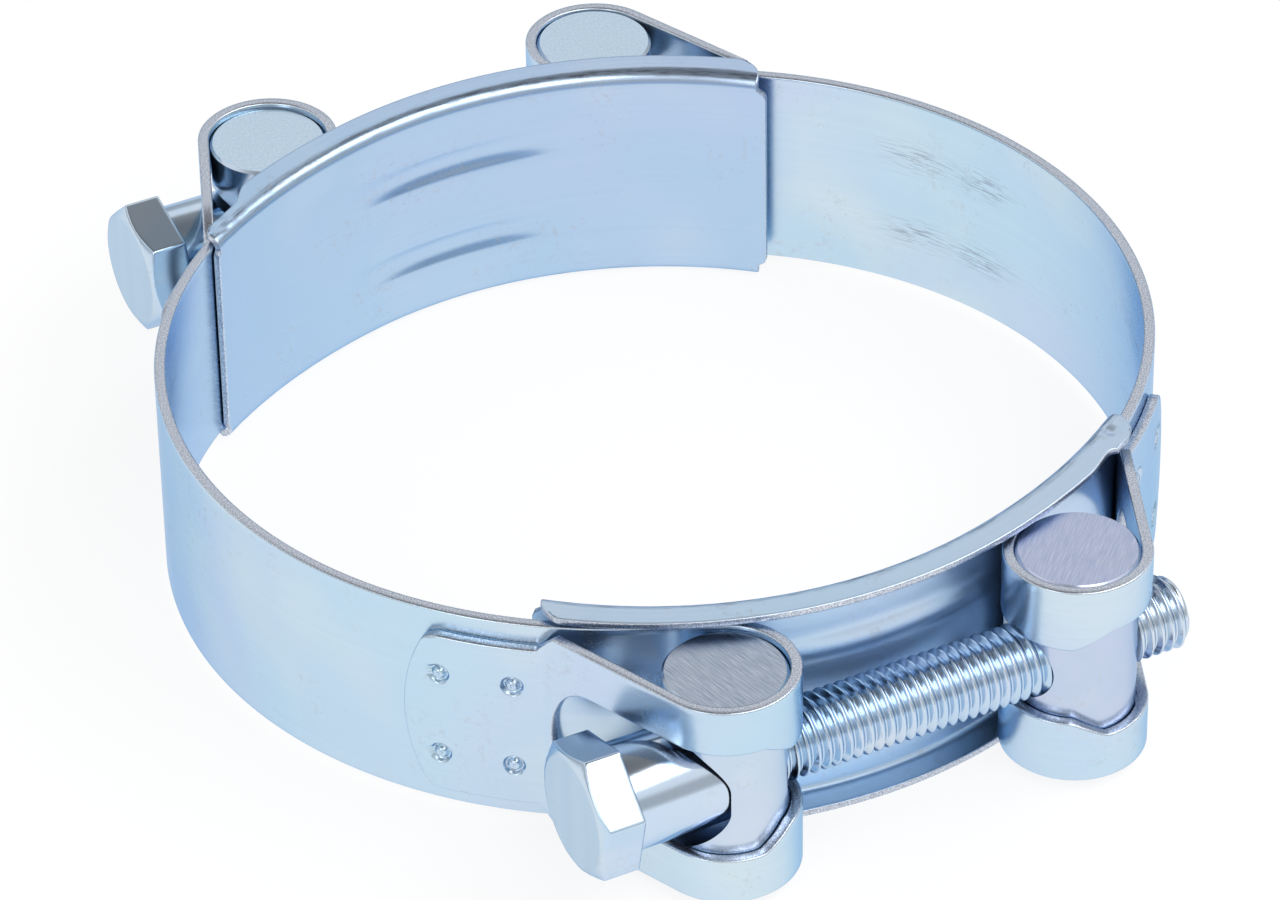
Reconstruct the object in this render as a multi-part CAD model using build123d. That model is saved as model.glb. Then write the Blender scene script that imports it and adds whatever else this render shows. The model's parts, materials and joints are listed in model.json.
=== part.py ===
from build123d import *
import os
from math import asin, atan2, cos, degrees, radians, sin, sqrt

# Two-bolt hinge clamp, in millimetres.
# Z is the axis of the clamped pipe, X runs along the bolts with their heads at -X,
# and the origin is the centre of the clamp's bore at mid width.

bore_radius = 59.0

# Half band: one steel strip whose two ends fold back round a trunnion
band_width = 30.0
band_thickness = 1.5
band_undersize = 0.6       # each half is bent this much tighter than the bore
half_offset = 6.1          # each half's centre stands this far from the bore's centre
pad_tip_angle = 37.0       # angles from the half's own X axis
pad_end_angle = 53.5
pad_inset = 2.8            # from the band's edge to the pad's
pad_tip_bulge = 3.2        # how far the pad's rounded tip stands out at mid width
pad_corner_radius = 2.4
strap_bend_radius = 3.0    # where the strap lifts off the band, at mid thickness
loop_rise = 0.85           # the loop's outer face stands this far clear of the band's circle

# Window in the strap, wide over the strap and narrow towards the gap
window_sleeve_gap = 1.3    # above and below the sleeve
window_bolt_gap = 0.8      # above and below the bolt
window_start = 0.8         # from the end of the strap's bend
window_corner_radius = 5.0
neck_start_angle = 2.0     # round the trunnion, from straight outwards towards the gap
neck_full_angle = 27.0
window_end_angle = 46.0    # past the bolt's axis, towards the band

# Pressed joints that hold each pad to the band
clinch_angles = (41.6, 50.6)
clinch_height = 6.3
clinch_outer_radius = 1.3
clinch_boss_radius = 0.7
clinch_depth = 0.3

# Trunnions
trunnion_diameter = 15.8
trunnion_inset = 0.2       # from the band's edge to a trunnion's end
trunnion_spacing = 50.0    # between the two trunnions on one bolt
trunnion_chamfer = 0.35
trunnion_clearance = 0.12  # between a trunnion and its loop
hang = 0.5                 # the plain trunnions drop this far onto the sleeves
seat_depth = 1.4           # from a plain trunnion's axis to the shoulder for the sleeve
sleeve_clearance = 0.25
sleeve_rise = 1.5          # extra height of the sleeve's seat, above and below
bolt_hole_clearance = 0.5
thread_clearance = 0.05

# Bolts and spacer sleeves
bolt_diameter = 10.0
bolt_length = 80.0
bolt_end_chamfer = 1.0
head_across_flats = 16.0
head_face_diameter = 15.2  # the flat left on the head's end by its chamfer
head_height = 5.8
front_head_turn = 43.0     # where a corner of each hexagon points
back_head_turn = 15.0
sleeve_outer_diameter = 14.0
sleeve_wall = 1.75
sleeve_length = 14.2

# Bridge: the sprung channel inside the gap, with flanges over the band's edges
bridge_thickness = 1.0
bridge_free_angle = 47.5   # the free end, from the X axis
bridge_round_angle = 103.5 # the bore's arc ends here and a flatter arc goes on to the crimped end
bridge_flat_angle = 22.0
crimp_gap = 0.15           # between the crimped end's web and the band
flange_reach = 4.8         # from the bore's wall to the flange's edge
flange_bend_radius = 0.9   # inside the bend
flange_band_gap = 0.6      # between the band's edge and the flange
flange_corner_radius = 4.6
web_tongue = 1.2           # the web stands this far past each flange
tongue_notch = 0.9         # height lost by the web beside a flange's end
crimp_reach = 3.0          # the flange's narrow reach at the crimped end
crimp_length = 8.0
crimp_taper = 5.0
crimp_dimple_radius = 0.9
crimp_dimple_depth = 0.45
crimp_dimple_back = 6.5    # from the web's end to the dimple

# Beads pressed outwards in the bridge's web
bead_height = 6.8
bead_angle = 91.0
bead_rise = 0.8
bead_half_width = 2.0      # at the web
bead_crest_half_width = 0.7
bead_half_length = 17.0

# Sizes that follow
half_width = band_width / 2
band_inner_radius = bore_radius - band_undersize
ring_radius = band_inner_radius + band_thickness / 2
pad_radius = ring_radius + band_thickness
pad_half_width = half_width - pad_inset
trunnion_radius = trunnion_diameter / 2
trunnion_length = band_width - 2 * trunnion_inset
loop_radius = trunnion_radius + trunnion_clearance + band_thickness / 2
trunnion_x = trunnion_spacing / 2
ring_centre = Vector(-half_offset, 0)
trunnion_reach = band_inner_radius + loop_radius + band_thickness / 2 + loop_rise
trunnion_y = sqrt(trunnion_reach**2 - (trunnion_x - half_offset) ** 2)
loop_centre = Vector(-trunnion_x, -trunnion_y)
head_seat_x = -trunnion_x - seat_depth - sleeve_length
flange_top = half_width + flange_band_gap + bridge_thickness
bend_outer_radius = flange_bend_radius + bridge_thickness
window_height = sleeve_outer_diameter + 2 * window_sleeve_gap
window_neck_height = bolt_diameter + 2 * window_bolt_gap
through = 2 * band_width   # reach of a cut that goes right through

from_end = (Align.CENTER, Align.CENTER, Align.MIN)


def polar(centre, radius, angle):
    """The point at an angle in degrees on a circle in plan."""
    a = radians(angle)
    return Vector(centre.X + radius * cos(a), centre.Y + radius * sin(a))


def bearing(centre, point):
    """The angle in degrees from a centre to a point, in plan."""
    return degrees(atan2(point.Y - centre.Y, point.X - centre.X))


def cross_tangent(first, first_radius, second, second_radius, turn):
    """The straight run that leaves one circle and joins the next, which turns the other way.

    turn is 1 where the first circle turns left, and -1 where it turns right.
    """
    span = second - first
    sweep = asin((first_radius + second_radius) / span.length)
    heading = atan2(span.Y, span.X) + turn * sweep
    left = Vector(-sin(heading), cos(heading))
    return first - left * (turn * first_radius), second + left * (turn * second_radius)


def arc_run(centre, radius, start, end, turn):
    """An arc of a strip's middle line, from one point to another, turning left (1) or right (-1)."""
    first = bearing(centre, start)
    sweep = (turn * (bearing(centre, end) - first)) % 360
    return ("arc", centre, radius, first, turn * sweep)


def side_edges(runs, shift):
    """A strip's middle line moved sideways, to the left where shift is positive."""
    edges = []
    for run in runs:
        if run[0] == "arc":
            kind, centre, radius, start, sweep = run
            shifted = radius - shift if sweep > 0 else radius + shift
            edges.append(CenterArc(centre, shifted, start, sweep))
        else:
            kind, start, end = run
            along = (end - start).normalized()
            left = Vector(-along.Y, along.X) * shift
            edges.append(Line(start + left, end + left))
    return edges


def strip_solid(runs, thickness, height):
    """A flat strip on edge, bent in plan along runs of arcs and straights."""
    left = side_edges(runs, thickness / 2)
    right = side_edges(runs, -thickness / 2)
    caps = [Line(left[0] @ 0, right[0] @ 0), Line(left[-1] @ 1, right[-1] @ 1)]
    outline = Wire(left + right + caps)
    return extrude(Face(outline), amount=height / 2, both=True)


def strap_runs():
    """The front end of the left half, from the pad's tip round the trunnion to the band."""
    tip = polar(ring_centre, pad_radius, 180 + pad_tip_angle)
    lift = polar(ring_centre, pad_radius, 180 + pad_end_angle)
    bend_centre = polar(ring_centre, pad_radius + strap_bend_radius, 180 + pad_end_angle)
    strap_start, strap_end = cross_tangent(bend_centre, strap_bend_radius, loop_centre, loop_radius, -1)
    loop_end, band_start = cross_tangent(loop_centre, loop_radius, ring_centre, ring_radius, 1)
    runs = [
        arc_run(ring_centre, pad_radius, tip, lift, 1),
        arc_run(bend_centre, strap_bend_radius, lift, strap_start, -1),
        ("line", strap_start, strap_end),
        arc_run(loop_centre, loop_radius, strap_end, loop_end, 1),
    ]
    return runs, strap_start, strap_end, loop_end, band_start


def pad_keeper():
    """What is left of the folded end: the narrow rounded pad, its 45 degree steps, and all past them."""
    middle = 180 + (pad_tip_angle + pad_end_angle) / 2
    step = pad_radius * sin(radians((pad_end_angle - pad_tip_angle) / 2))
    shoulder = pad_tip_bulge - step
    step_end = step + pad_inset
    reach = 2 * ring_radius
    upper = [
        (shoulder, pad_half_width),
        (step, pad_half_width),
        (step_end, half_width),
        (step_end, reach),
        (reach, reach),
    ]
    outline = upper + [(u, -v) for u, v in reversed(upper)]
    sides = [Line(a, b) for a, b in zip(outline, outline[1:])]
    rounded_tip = ThreePointArc((shoulder, -pad_half_width), (-step, 0), (shoulder, pad_half_width))
    face = Face(Wire(sides + [rounded_tip]))
    face = face.fillet_2d(pad_corner_radius, face.vertices().sort_by(Axis.X)[:2])
    outward = polar(Vector(0, 0), 1, middle)
    plane = Plane(origin=ring_centre, x_dir=(-outward.Y, outward.X, 0), z_dir=outward)
    return extrude(plane * face, amount=reach, dir=outward)


def strap_window(strap_start, strap_end):
    """The slot that the bolt passes: along the strap and round the trunnion to the gap's side."""
    along = (strap_end - strap_start).normalized()
    length = (strap_end - strap_start).length + loop_radius
    plane = Plane(origin=strap_start, x_dir=along, z_dir=(along.Y, -along.X, 0))
    slot = Rectangle(length, window_height, align=(Align.MIN, Align.CENTER))
    slot = fillet(slot.vertices().sort_by(Axis.X)[:2], window_corner_radius)
    strap_cut = extrude(plane * Pos(window_start, 0) * slot, amount=trunnion_radius, both=True)

    outside = loop_radius + band_thickness
    neck_start = outside * sin(radians(neck_start_angle))
    neck_full = outside * sin(radians(neck_full_angle))
    wide = window_height / 2
    narrow = window_neck_height / 2
    upper = [(-2 * outside, wide), (neck_start, wide), (neck_full, narrow), (2 * outside, narrow)]
    profile = Polygon(*upper, *[(u, -v) for u, v in reversed(upper)], align=None)
    depth = 2 * outside + loop_radius * sin(radians(window_end_angle))
    loop_plane = Plane(
        origin=(loop_centre.X, loop_centre.Y - 2 * outside, 0), x_dir=(1, 0, 0), z_dir=(0, -1, 0)
    )
    return strap_cut + extrude(loop_plane * profile, amount=depth, dir=(0, 1, 0))


def clinch_grooves():
    """Ring-shaped grooves of the pressed joints in the left half's front pad."""
    floor_radius = pad_radius + band_thickness / 2 - clinch_depth
    ring = Cylinder(clinch_outer_radius, band_thickness, align=from_end)
    ring = ring - Cylinder(clinch_boss_radius, band_thickness, align=from_end)
    grooves = []
    for angle in clinch_angles:
        spot = polar(ring_centre, floor_radius, 180 + angle)
        outward = polar(Vector(0, 0), 1, 180 + angle)
        for height in (-clinch_height, clinch_height):
            grooves.append(Plane(origin=(spot.X, spot.Y, height), z_dir=outward) * ring)
    return grooves


def half_band():
    """The left half, with the bolt heads' ends. The right half is its mirror image."""
    runs, strap_start, strap_end, loop_end, band_start = strap_runs()
    folded = strip_solid(runs, band_thickness, band_width)
    folded = folded & pad_keeper()
    folded = folded - strap_window(strap_start, strap_end)
    other_start = Vector(band_start.X, -band_start.Y)
    other_end = Vector(loop_end.X, -loop_end.Y)
    ring_runs = [
        ("line", loop_end, band_start),
        arc_run(ring_centre, ring_radius, band_start, other_start, -1),
        ("line", other_start, other_end),
    ]
    ring = strip_solid(ring_runs, band_thickness, band_width)
    band = ring + folded + folded.mirror(Plane.XZ)
    for groove in clinch_grooves():
        band = band - groove - groove.mirror(Plane.XZ)
    return band


def trunnion_pin():
    """The round bar of a trunnion, standing on Z."""
    pin = Cylinder(trunnion_radius, trunnion_length)
    return chamfer(pin.edges().filter_by(GeomType.CIRCLE), trunnion_chamfer)


def plain_trunnion():
    """The front trunnion on the heads' side: an oblong seat for the sleeve, and a hole for the bolt."""
    seat_width = sleeve_outer_diameter + 2 * sleeve_clearance
    hole_width = bolt_diameter + 2 * bolt_hole_clearance
    seat_outline = SlotOverall(seat_width + 2 * sleeve_rise, seat_width, rotation=90)
    hole_outline = SlotOverall(hole_width + 2 * sleeve_rise, hole_width, rotation=90)
    seat = extrude(Plane.YZ * seat_outline, amount=-trunnion_diameter)
    hole = extrude(Plane.YZ * hole_outline, amount=trunnion_diameter, both=True)
    pin = trunnion_pin() - Pos(-seat_depth, 0, 0) * seat - hole
    return Pos(-trunnion_x, -trunnion_y, -hang) * pin


def threaded_trunnion():
    """The front trunnion on the nut side. Its tapped hole is plain at the thread's outer size."""
    hole = Rot(0, 90, 0) * Cylinder(bolt_diameter / 2 + thread_clearance, through)
    return Pos(trunnion_x, -trunnion_y, 0) * (trunnion_pin() - hole)


def bolt(head_turn):
    """A hexagon bolt along the X axis, its head's underside where the sleeve's end is."""
    shank = Rot(0, 90, 0) * Cylinder(bolt_diameter / 2, bolt_length, align=from_end)
    end_rim = shank.edges().filter_by(GeomType.CIRCLE).sort_by(Axis.X)[-1]
    shank = chamfer(end_rim, bolt_end_chamfer)
    hexagon = RegularPolygon(head_across_flats / 2, 6, major_radius=False, rotation=head_turn)
    head = extrude(Plane.YZ * hexagon, amount=-head_height)
    return Pos(head_seat_x, 0, 0) * (shank + (head & head_blank()))


def head_blank():
    """The turned form that a hexagon head is cut from: its end is chamfered at 30 degrees."""
    corner_radius = head_across_flats / sqrt(3)
    slope = (corner_radius - head_face_diameter / 2) / sqrt(3)
    side = Cylinder(corner_radius, head_height - slope, align=from_end)
    end = Pos(0, 0, head_height - slope) * Cone(
        corner_radius, head_face_diameter / 2, slope, align=from_end
    )
    return Rot(0, -90, 0) * (side + end)


def sleeve():
    """The front spacer sleeve, from the head to its seat in the plain trunnion."""
    outer = Cylinder(sleeve_outer_diameter / 2, sleeve_length, align=from_end)
    inner = Cylinder(sleeve_outer_diameter / 2 - sleeve_wall, sleeve_length, align=from_end)
    return Pos(head_seat_x, -trunnion_y, 0) * Rot(0, 90, 0) * (outer - inner)


def channel_section(wall_radius):
    """The bridge's section, its bore side at X = wall_radius and its flanges outwards."""
    edge = (Align.MIN, Align.CENTER)
    outside = Rectangle(flange_reach, 2 * flange_top, align=edge)
    outside = fillet(outside.vertices().sort_by(Axis.X)[:2], bend_outer_radius)
    inside = Rectangle(flange_reach, 2 * (flange_top - bridge_thickness), align=edge)
    inside = fillet(inside.vertices().sort_by(Axis.X)[:2], flange_bend_radius)
    return Plane.XZ * Pos(wall_radius, 0) * (outside - Pos(bridge_thickness, 0) * inside)


def flat_arc_radius():
    """Radius of the flatter arc, which brings the crimped end's outer corner against the band."""
    start = polar(Vector(0, 0), 1, bridge_round_angle)
    end = polar(Vector(0, 0), 1, bridge_round_angle + bridge_flat_angle)
    fixed = start * bore_radius + end * bridge_thickness - ring_centre
    growth = end - start
    reach = band_inner_radius - crimp_gap
    square, slope = growth.dot(growth), fixed.dot(growth)
    return (sqrt(slope**2 - square * (fixed.dot(fixed) - reach**2)) - slope) / square


def bridge():
    """The back bridge, free at its +X end and crimped to the left half at its -X end."""
    flat_radius = flat_arc_radius()
    flat_centre = polar(Vector(0, 0), bore_radius - flat_radius, bridge_round_angle)
    round_angle = bridge_round_angle - bridge_free_angle
    crimped_angle = bridge_round_angle + bridge_flat_angle
    rounded = revolve(Rot(0, 0, bridge_free_angle) * channel_section(bore_radius), Axis.Z, round_angle)
    flat = revolve(Rot(0, 0, bridge_round_angle) * channel_section(flat_radius), Axis.Z, bridge_flat_angle)
    free_end = Rot(0, 0, bridge_free_angle) * Pos(bore_radius, 0, 0)
    crimped_end = Pos(flat_centre.X, flat_centre.Y, 0) * Rot(0, 0, crimped_angle) * Pos(flat_radius, 0, 0)
    shell = rounded + Pos(flat_centre.X, flat_centre.Y, 0) * flat
    shell = shell - end_cuts(free_end, 1) - end_cuts(crimped_end, -1) - crimp_cuts(crimped_end)
    for height in (-bead_height, bead_height):
        shell = add_bead(shell, height)
    return shell


def end_cuts(place, inward):
    """Trims both flanges short of the web's end and rounds their corners.

    The place has X outwards from the bore. Y points into the bridge where inward is 1.
    """
    web_half = flange_top - bend_outer_radius - tongue_notch
    trim = Rectangle(through, 2 * web_tongue)
    centre = Pos(flange_reach - flange_corner_radius, inward * (web_tongue + flange_corner_radius))
    corner_align = (Align.MIN, Align.MAX if inward > 0 else Align.MIN)
    corner = centre * (
        Rectangle(through, 2 * flange_corner_radius, align=corner_align) - Circle(flange_corner_radius)
    )
    cuts = []
    for side in (-1, 1):
        cuts.append(place * extrude(Pos(0, 0, side * web_half) * trim, amount=side * through))
        bend_start = side * (flange_top - bend_outer_radius)
        cuts.append(place * extrude(Pos(0, 0, bend_start) * corner, amount=side * through))
    return cuts


def crimp_cuts(place):
    """Narrows both flanges at the crimped end, and dents them where they grip the band."""
    outline = Polygon(
        (crimp_reach, web_tongue),
        (crimp_reach, -crimp_length),
        (flange_reach, -crimp_length - crimp_taper),
        (2 * flange_reach, -crimp_length - crimp_taper),
        (2 * flange_reach, web_tongue),
        align=None,
    )
    dent_height = flange_top + crimp_dimple_radius - crimp_dimple_depth
    cuts = []
    for side in (-1, 1):
        cuts.append(place * extrude(Pos(0, 0, side * half_width) * outline, amount=side * through))
        dent = Pos(crimp_reach / 2, -crimp_dimple_back, side * dent_height)
        cuts.append(place * dent * Sphere(crimp_dimple_radius))
    return cuts


def bead_form(height, crest_radius):
    """A ring with a flat crest and sides that slope as a bead's do, round the bead's own centre."""
    web_radius = bore_radius + bridge_thickness
    path_radius = 1 / (1 / web_radius + 2 * bead_rise / bead_half_length**2)
    centre = polar(Vector(0, 0), web_radius + bead_rise - path_radius, bead_angle)
    slope = (bead_half_width - bead_crest_half_width) / bead_rise
    depth = bead_rise + bridge_thickness
    foot_half_width = bead_crest_half_width + slope * depth
    crest = path_radius + crest_radius - web_radius - bead_rise
    section = Polygon(
        (crest, bead_crest_half_width),
        (crest - depth, foot_half_width),
        (crest - depth, -foot_half_width),
        (crest, -bead_crest_half_width),
        align=None,
    )
    return Pos(centre.X, centre.Y, height) * revolve(Plane.XZ * section, Axis.Z, 360)


def add_bead(shell, height):
    """One bead: a ridge that rises out of the web at mid length and sinks into it at both ends."""
    crest_radius = bore_radius + bridge_thickness + bead_rise
    outer = bead_form(height, crest_radius)
    inner = bead_form(height, crest_radius - bridge_thickness)
    core = Cylinder(bore_radius + bridge_thickness / 2, through)
    return shell + (outer - core) - inner


def main():
    os.makedirs("parts", exist_ok=True)
    left = half_band()
    back = bridge()
    nodes = {
        "left_band": left,
        "right_band": left.mirror(Plane.YZ),
        "back_bridge": back,
        "front_bridge": Rot(0, 0, 180) * back,
    }
    front_pieces = {
        "plain_trunnion": plain_trunnion(),
        "threaded_trunnion": threaded_trunnion(),
        "sleeve": sleeve(),
    }
    for name, piece in front_pieces.items():
        nodes["front_" + name] = piece
        nodes["back_" + name] = piece.mirror(Plane.XZ)
    nodes["front_bolt"] = Pos(0, -trunnion_y, 0) * bolt(front_head_turn)
    nodes["back_bolt"] = Pos(0, trunnion_y, 0) * bolt(back_head_turn)
    for name, solid in nodes.items():
        export_step(solid, "parts/" + name + ".step")


main()
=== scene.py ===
import json
import math
import bmesh
import bpy
import numpy as np
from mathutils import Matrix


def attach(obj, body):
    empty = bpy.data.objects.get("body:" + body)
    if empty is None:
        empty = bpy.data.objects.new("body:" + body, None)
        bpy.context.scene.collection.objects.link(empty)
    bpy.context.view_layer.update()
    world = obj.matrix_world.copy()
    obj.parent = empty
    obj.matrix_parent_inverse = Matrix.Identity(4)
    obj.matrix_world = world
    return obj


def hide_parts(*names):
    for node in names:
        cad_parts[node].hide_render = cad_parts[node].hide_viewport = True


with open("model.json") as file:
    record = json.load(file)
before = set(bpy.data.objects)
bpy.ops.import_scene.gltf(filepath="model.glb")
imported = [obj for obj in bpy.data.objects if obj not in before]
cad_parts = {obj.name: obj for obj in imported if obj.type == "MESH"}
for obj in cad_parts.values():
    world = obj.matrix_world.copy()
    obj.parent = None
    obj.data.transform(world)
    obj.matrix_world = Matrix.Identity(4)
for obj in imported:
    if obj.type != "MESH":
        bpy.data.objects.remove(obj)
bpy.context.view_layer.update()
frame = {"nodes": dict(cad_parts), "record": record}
nodes = frame["nodes"]
# All sizes below are in millimetres, the same as the solids'
mm = 0.001
mergeDistance = 0.002 * mm
bumpDistance = 0.02 * mm
rimSteps = 3


def polar(centre, radius, degrees):
    # The point at an angle on a circle in plan
    angle = math.radians(degrees)
    return np.array([centre[0] + radius * math.cos(angle), centre[1] + radius * math.sin(angle)])


def bearing(centre, point):
    # The angle in plan at which one point lies from another
    return math.degrees(math.atan2(point[1] - centre[1], point[0] - centre[0]))


def arcRun(centre, radius, start, end, turn):
    # An arc from one point to another, turning left (1) or right (-1)
    first = bearing(centre, start)
    sweep = (turn * (bearing(centre, end) - first)) % 360
    return {"centre": centre, "radius": radius, "first": first, "turn": turn,
            "length": radius * math.radians(sweep)}


def lineRun(start, end):
    length = float(np.hypot(*(end - start)))
    return {"start": start, "along": (end - start) / length, "length": length}


def alongRuns(runs, s):
    # Point and left-hand direction at each length s: an arc is its centre plus the radius turned through
    # s over radius, and a straight is its start plus s times its direction
    point = np.zeros(s.shape + (2,))
    left = np.zeros(s.shape + (2,))
    start = 0.0
    for number, run in enumerate(runs):
        inside = (s >= start) | (number == 0)
        t = s - start
        if "centre" in run:
            angle = math.radians(run["first"]) + run["turn"] * t / run["radius"]
            ray = np.stack([np.cos(angle), np.sin(angle)], -1)
            here = run["centre"] + run["radius"] * ray
            aside = -run["turn"] * ray
        else:
            here = run["start"] + t[..., None] * run["along"]
            aside = np.array([-run["along"][1], run["along"][0]])
        point = np.where(inside[..., None], here, point)
        left = np.where(inside[..., None], aside, left)
        start += run["length"]
    return point, left


def smooth(x):
    # Rises from 0 to 1 with level ends
    x = np.clip(x, 0, 1)
    return x * x * (3 - 2 * x)


def hump(x, place, width):
    # 1 at its place, falling off on both sides as a bell curve
    return np.exp(-(((x - place) / width) ** 2))


def cornerDrop(x, radius):
    # How far a round corner has fallen back at a distance x past its start
    return radius - np.sqrt(np.clip(radius**2 - np.clip(x, 0, radius) ** 2, 0, None))


def spaced(*parts):
    # One rising list from (start, end, steps) parts
    rows = [np.linspace(a, b, n, endpoint=False) for a, b, n in parts]
    return np.concatenate(rows + [np.array([parts[-1][1]])])


def gridQuads(index):
    # Quads between the rows and columns of an index table, turning left in (row, column)
    return np.stack([index[:-1, :-1], index[1:, :-1], index[1:, 1:], index[:-1, 1:]], -1).reshape(-1, 4)


def addObject(name, data):
    obj = bpy.data.objects.new(name, data)
    bpy.context.scene.collection.objects.link(obj)
    return obj


def makeMesh(name, points, faces, masks=None, uv=None):
    # Turns numpy points in millimetres into an object whose closed shell faces outwards
    corners = np.array([[f[0], f[i], f[i + 1]] for f in faces for i in range(1, len(f) - 1)])
    a, b, c = (points[corners[:, i]] for i in range(3))
    if np.einsum("ij,ij->i", a, np.cross(b, c)).sum() < 0:
        faces = [f[::-1] for f in faces]
    mesh = bpy.data.meshes.new(name)
    mesh.from_pydata((points * mm).tolist(), [], faces)
    for label, values in (masks or {}).items():
        mesh.attributes.new(label, "FLOAT", "POINT").data.foreach_set("value", values.astype(np.float32))
    if uv is not None:
        owner = np.zeros(len(mesh.loops), np.int32)
        mesh.loops.foreach_get("vertex_index", owner)
        layer = mesh.uv_layers.new(name="surface")
        layer.data.foreach_set("uv", (uv[owner] * mm).astype(np.float32).ravel())
    mesh.shade_smooth()
    mesh.update()
    return addObject(name, mesh)


def mergeDoubles(mesh):
    work = bmesh.new()
    work.from_mesh(mesh)
    bmesh.ops.remove_doubles(work, verts=work.verts, dist=mergeDistance)
    bmesh.ops.recalc_face_normals(work, faces=work.faces)
    work.to_mesh(mesh)
    work.free()


def bentSheet(name, s, v, quads, place, wear, thickness, edgeRadius):
    # A sheet of even thickness over a flat grid of quads in (s, v): its two faces lie half the thickness
    # each way along the normal, and along every border a rounded rim joins them, like a sheared edge
    half = thickness / 2
    count = len(s)
    sides = np.concatenate([quads[:, [i, (i + 1) % 4]] for i in range(4)])
    rim = sides[~np.isin(sides[:, 0] * count + sides[:, 1], sides[:, 1] * count + sides[:, 0])]
    ahead = np.full(count, -1)
    behind = np.full(count, -1)
    ahead[rim[:, 0]] = rim[:, 1]
    behind[rim[:, 1]] = rim[:, 0]
    border = rim[:, 0]
    ds = s[ahead[border]] - s[behind[border]]
    dv = v[ahead[border]] - v[behind[border]]
    length = np.hypot(ds, dv)
    outS, outV = dv / length, -ds / length
    innerS, innerV = s.copy(), v.copy()
    innerS[border] -= edgeRadius * outS
    innerV[border] -= edgeRadius * outV
    # The rim as (share of the way out, height): a quarter turn on one face, then its mirror image
    angles = np.linspace(0, math.pi / 2, rimSteps + 1)[1:]
    profile = [(math.sin(a), half - edgeRadius * (1 - math.cos(a))) for a in angles]
    profile += [(share, -height) for share, height in profile[::-1]]
    out, height = np.array(profile).T
    back = edgeRadius * (1 - out)[:, None]
    allS = np.concatenate([innerS, innerS, (s[border] - back * outS).ravel()])
    allV = np.concatenate([innerV, innerV, (v[border] - back * outV).ravel()])
    allN = np.concatenate([np.full(count, half), np.full(count, -half), np.repeat(height, len(border))])
    where = np.full(count, -1)
    where[border] = np.arange(len(border))
    rimRows = 2 * count + np.arange(len(out) * len(border)).reshape(len(out), -1)
    rows = [border, *rimRows, count + border]
    following = where[ahead[border]]
    strips = [np.stack([upper[following], upper, lower, lower[following]], 1)
              for upper, lower in zip(rows, rows[1:])]
    faces = np.concatenate([quads, quads[:, ::-1] + count] + strips)
    edge = np.concatenate([np.zeros(2 * count), np.repeat(out, len(border))])
    # Besides the rim, a mask of real wear and of painted shade, as the piece's own function gives it
    masks = {"edge": edge, "wear": wear(allS, allV, allN)}
    return makeMesh(name, place(allS, allV, allN), faces.tolist(), masks, np.stack([allS, allV], 1))


# The half bands: a strip folded back round a trunnion at both ends. Each ring's own centre lies beside
# the bore's. The pad's pressed joints have a groove, a dome with a pit in it, and a low rim.
band = {
    "width": 30.0, "thickness": 1.5, "edgeRadius": 0.3, "innerRadius": 58.4, "centreOffset": 6.1,
    "padTipAngle": 37.0, "padEndAngle": 53.5, "padInset": 2.8, "padTipBulge": 3.2, "padCorner": 2.4,
    "padLift": 0.02, "bendRadius": 3.0, "stepStart": 0.35, "loopRise": 0.85,
    "windowHalf": 8.3, "windowStart": 0.8, "windowRound": 6.0, "windowEndAngle": 46.0,
    "windowEndRound": 2.4, "windowClear": 1.8,
    "neckHalf": 5.8, "neckStartAngle": 2.0, "neckFullAngle": 27.0, "neckReturn": 30.0,
    "jointAngles": (41.6, 50.6), "jointHeight": 6.3, "jointReach": 1.8, "jointSteps": 20, "jointSkin": 0.3,
    # The groove's last two entries paint a dark ring of shade into the joints' grooves
    "groove": {"depth": 0.6, "radius": 1.05, "width": 0.3, "wear": 0.9, "wearWidth": 0.28},
    "dome": {"rise": 0.2, "radius": 0.65}, "pit": {"depth": 0.42, "radius": 0.28},
    "rim": {"rise": 0.1, "radius": 1.6, "width": 0.2},
    "rub": {"angles": (31.0, 20.0), "length": 4.5, "width": 1.8, "wear": 0.7},
}


def tangent(first, firstRadius, second, secondRadius, turn):
    # Where the straight that crosses over between two circles leaves one and meets the other
    span = second - first
    heading = math.atan2(span[1], span[0])
    heading += turn * math.asin((firstRadius + secondRadius) / np.hypot(*span))
    left = np.array([-math.sin(heading), math.cos(heading)])
    return first - left * turn * firstRadius, second + left * turn * secondRadius


def loopPlace():
    # The middle of the heads' front loop in plan, and the radius of the strip's middle line round it
    radius = trunnion["radius"] + trunnion["clearance"] + band["thickness"] / 2
    reach = band["innerRadius"] + radius + band["thickness"] / 2 + band["loopRise"]
    half = trunnion["spacing"] / 2
    return np.array([-half, -math.sqrt(reach**2 - (half - band["centreOffset"]) ** 2)]), radius


def frontRuns():
    # The strip's middle line in plan, from the front pad's tip round the loop to the ring's middle
    ringRadius = band["innerRadius"] + band["thickness"] / 2
    padRadius = ringRadius + band["thickness"] + band["padLift"]
    centre = np.array([-band["centreOffset"], 0.0])
    loopCentre, loopRadius = loopPlace()
    tip = polar(centre, padRadius, 180 + band["padTipAngle"])
    lift = polar(centre, padRadius, 180 + band["padEndAngle"])
    bendCentre = polar(centre, padRadius + band["bendRadius"], 180 + band["padEndAngle"])
    strapStart, strapEnd = tangent(bendCentre, band["bendRadius"], loopCentre, loopRadius, -1)
    loopEnd, ringStart = tangent(loopCentre, loopRadius, centre, ringRadius, 1)
    runs = [
        arcRun(centre, padRadius, tip, lift, 1),
        arcRun(bendCentre, band["bendRadius"], lift, strapStart, -1),
        lineRun(strapStart, strapEnd),
        arcRun(loopCentre, loopRadius, strapEnd, loopEnd, 1),
        lineRun(loopEnd, ringStart),
        arcRun(centre, ringRadius, ringStart, polar(centre, ringRadius, 180), -1),
    ]
    return runs, centre, ringRadius, padRadius


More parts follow.
